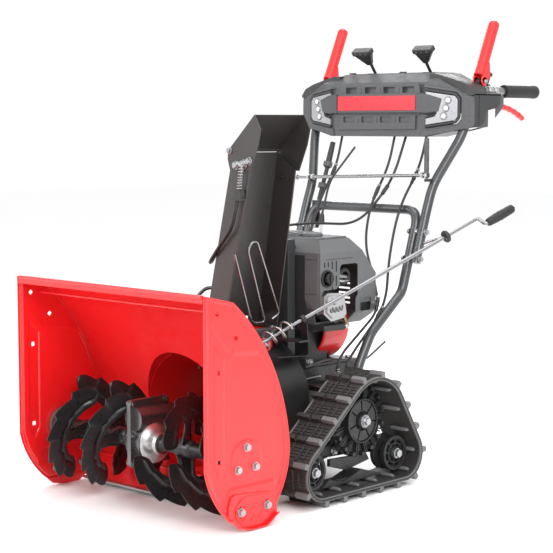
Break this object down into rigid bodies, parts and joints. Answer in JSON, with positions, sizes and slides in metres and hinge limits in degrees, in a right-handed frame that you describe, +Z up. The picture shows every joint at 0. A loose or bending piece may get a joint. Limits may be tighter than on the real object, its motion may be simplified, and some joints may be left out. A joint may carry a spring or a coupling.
{
  "type": "two stage snowblower",
  "caption": "Walk-behind two stage snowblower on triangular rubber tracks, with serrated augers, a turning discharge chute with tilting deflector, and hand controls on a lamp console.",
  "frame": {"origin": "on the floor, on the machine's mid plane, straight below the drive axle", "axes": "+Y from the intake towards the operator, +Z up, +X towards the left of an operator who looks along -Y over the machine"},
  "size_m": [0.7333, 1.3525, 1.1913],
  "materials": {
    "red_paint": "gloss",
    "scraper_steel": "worn",
    "zinc_fasteners": "zinc plated",
    "cast_metal": "as cast",
    "auger_steel": "satin",
    "shaft_steel": "machined",
    "bronze": "machined",
    "pulley_iron": "machined",
    "belt_rubber": "matt",
    "black_paint": "satin",
    "track_rubber": "moulded",
    "black_plastic": "moulded",
    "grey_plastic": "satin",
    "silver_steel": "pressed",
    "grey_paint": "satin",
    "bright_steel": "plated",
    "grip_rubber": "textured",
    "badge_red": "gloss",
    "lamp_plastic": "gloss",
    "lever_red": "gloss",
    "cable_sheath": "satin"
  },
  "bodies": {
    "machine": {"side_plates": "red_paint", "housing_shell": "red_paint", "scraper_bar": "scraper_steel", "skid_shoes": "red_paint", "fasteners": "zinc_fasteners", "shaft_bearings": "cast_metal", "auger_gearbox": "cast_metal", "drive_belt": "belt_rubber", "belt_cover": "black_paint", "chassis_box": "black_paint", "transmission_case": "cast_metal", "left_track": "track_rubber", "right_track": "track_rubber", "track_frames": "black_paint", "engine_block": "cast_metal", "engine_cover": "grey_plastic", "blower_housing": "red_paint", "muffler": "silver_steel", "lower_frame": "grey_paint", "upper_handles": "grey_paint", "handlebars": "bright_steel", "hand_grips": "grip_rubber", "console_body": "grey_plastic", "console_badge": "badge_red", "headlamps": "lamp_plastic", "brackets": "black_paint", "cross_rod": "bright_steel", "control_cables": "cable_sheath", "deflector_cable": "cable_sheath", "clean_out_tool": "black_plastic"},
    "augers": {"auger_shaft": "shaft_steel", "auger_left": "auger_steel", "auger_right": "auger_steel", "worm_wheel": "bronze"},
    "impeller_drive": {"impeller_shaft": "shaft_steel", "impeller": "auger_steel", "impeller_pulley": "pulley_iron"},
    "crankshaft": {"engine_pulley": "pulley_iron"},
    "tensioner": {"belt_tensioner": "pulley_iron"},
    "left_sprocket": {"left_drive_wheel": "black_plastic"},
    "right_sprocket": {"right_drive_wheel": "black_plastic"},
    "left_front_roller": {"left_front_idler": "black_plastic"},
    "left_rear_roller": {"left_rear_idler": "black_plastic"},
    "right_front_roller": {"right_front_idler": "black_plastic"},
    "right_rear_roller": {"right_rear_idler": "black_plastic"},
    "choke": {"choke_knob": "black_plastic"},
    "filler_cap": {"fuel_cap": "black_plastic"},
    "starter_handle": {"recoil_handle": "black_plastic"},
    "auger_lever": {"auger_clutch_lever": "lever_red"},
    "drive_lever": {"drive_clutch_lever": "lever_red"},
    "speed_selector": {"speed_lever": "black_plastic"},
    "deflector_selector": {"deflector_lever": "black_plastic"},
    "throttle": {"throttle_lever": "black_plastic"},
    "left_steering_trigger": {"left_trigger": "lever_red"},
    "right_steering_trigger": {"right_trigger": "lever_red"},
    "chute": {"chute_body": "black_paint", "wire_guard": "bright_steel"},
    "chute_deflector": {"deflector": "black_paint"},
    "crank": {"chute_crank": "bright_steel"},
    "crank_handle": {"crank_grip": "grip_rubber"}
  },
  "joints": [
    {"name": "auger_spin", "type": "hinge", "parent": "machine", "child": "augers", "pos_m": [0, -0.468, 0.159], "axis": [1, 0, 0], "continuous": true},
    {"name": "impeller_spin", "type": "hinge", "parent": "machine", "child": "impeller_drive", "pos_m": [0, -0.14, 0.218], "axis": [0, 1, 0], "continuous": true},
    {"name": "crankshaft_spin", "type": "hinge", "parent": "machine", "child": "crankshaft", "pos_m": [0, -0.04, 0.39], "axis": [0, 1, 0], "continuous": true},
    {"name": "tensioner_swing", "type": "hinge", "parent": "machine", "child": "tensioner", "pos_m": [-0.076, -0.034, 0.236], "axis": [0, 1, 0], "range_deg": [0, 16.5]},
    {"name": "auger_lever_squeeze", "type": "hinge", "parent": "machine", "child": "auger_lever", "pos_m": [-0.268, 0.488, 1.027], "axis": [-1, 0, 0], "range_deg": [0, 55]},
    {"name": "drive_lever_squeeze", "type": "hinge", "parent": "machine", "child": "drive_lever", "pos_m": [0.268, 0.488, 1.027], "axis": [-1, 0, 0], "range_deg": [0, 55]},
    {"name": "left_sprocket_spin", "type": "hinge", "parent": "machine", "child": "left_sprocket", "pos_m": [0.26, 0, 0.178], "axis": [1, 0, 0], "continuous": true},
    {"name": "left_front_roller_spin", "type": "hinge", "parent": "machine", "child": "left_front_roller", "pos_m": [0.26, -0.194, 0.08], "axis": [1, 0, 0], "continuous": true},
    {"name": "left_rear_roller_spin", "type": "hinge", "parent": "machine", "child": "left_rear_roller", "pos_m": [0.26, 0.117, 0.08], "axis": [1, 0, 0], "continuous": true},
    {"name": "right_sprocket_spin", "type": "hinge", "parent": "machine", "child": "right_sprocket", "pos_m": [-0.26, 0, 0.178], "axis": [1, 0, 0], "continuous": true},
    {"name": "right_front_roller_spin", "type": "hinge", "parent": "machine", "child": "right_front_roller", "pos_m": [-0.26, -0.194, 0.08], "axis": [1, 0, 0], "continuous": true},
    {"name": "right_rear_roller_spin", "type": "hinge", "parent": "machine", "child": "right_rear_roller", "pos_m": [-0.26, 0.117, 0.08], "axis": [1, 0, 0], "continuous": true},
    {"name": "choke_turn", "type": "hinge", "parent": "machine", "child": "choke", "pos_m": [0.15, 0.012, 0.524], "axis": [1, 0, 0], "range_deg": [0, 90]},
    {"name": "fuel_cap_turn", "type": "hinge", "parent": "machine", "child": "filler_cap", "pos_m": [0.07, 0.04, 0.62], "axis": [0, 0, 1], "range_deg": [0, 90]},
    {"name": "starter_pull", "type": "slide", "parent": "machine", "child": "starter_handle", "axis": [0, 1, 0], "range_m": [0, 0.5]},
    {"name": "speed_select", "type": "hinge", "parent": "machine", "child": "speed_selector", "pos_m": [0.098, 0.536, 1.001], "axis": [-1, 0, 0], "range_deg": [-12, 38]},
    {"name": "deflector_select", "type": "hinge", "parent": "machine", "child": "deflector_selector", "pos_m": [-0.098, 0.536, 1.001], "axis": [-1, 0, 0], "range_deg": [-12, 38]},
    {"name": "throttle_turn", "type": "hinge", "parent": "machine", "child": "throttle", "pos_m": [0.244, 0.552, 1.016], "axis": [-1, 0, 0], "range_deg": [0, 50]},
    {"name": "left_trigger_squeeze", "type": "hinge", "parent": "machine", "child": "left_steering_trigger", "pos_m": [0.268, 0.528, 0.966], "axis": [1, 0, 0], "range_deg": [0, 11]},
    {"name": "right_trigger_squeeze", "type": "hinge", "parent": "machine", "child": "right_steering_trigger", "pos_m": [-0.268, 0.528, 0.966], "axis": [1, 0, 0], "range_deg": [0, 11]},
    {"name": "chute_rotation", "type": "hinge", "parent": "machine", "child": "chute", "pos_m": [0, -0.15, 0.4], "axis": [0, 0, 1], "range_deg": [-173, 17], "deforming": ["deflector_cable"]},
    {"name": "deflector_tilt", "type": "hinge", "parent": "chute", "child": "chute_deflector", "pos_m": [0.0584, -0.16241, 0.85], "axis": [0.2079, 0.9781, 0], "range_deg": [-12, 38]},
    {"name": "crank_turn", "type": "hinge", "parent": "machine", "child": "crank", "pos_m": [0.124, -0.155, 0.395], "axis": [0.3023, 0.8586, 0.4139], "continuous": true},
    {"name": "crank_handle_spin", "type": "hinge", "parent": "crank", "child": "crank_handle", "pos_m": [0.35083, 0.41486, 0.65618], "axis": [0.3023, 0.8586, 0.4139], "continuous": true}
  ],
  "couplings": [
    {"joint": "impeller_spin", "follows": "auger_spin", "ratio": 10},
    {"joint": "tensioner_swing", "follows": "auger_lever_squeeze", "ratio": 0.3},
    {"joint": "crank_turn", "follows": "chute_rotation", "ratio": 10},
    {"joint": "deflector_select", "follows": "deflector_tilt", "ratio": 1},
    {"joint": "left_front_roller_spin", "follows": "left_sprocket_spin", "ratio": 1.8684},
    {"joint": "left_rear_roller_spin", "follows": "left_sprocket_spin", "ratio": 1.8684},
    {"joint": "right_front_roller_spin", "follows": "right_sprocket_spin", "ratio": 1.8684},
    {"joint": "right_rear_roller_spin", "follows": "right_sprocket_spin", "ratio": 1.8684}
  ]
}
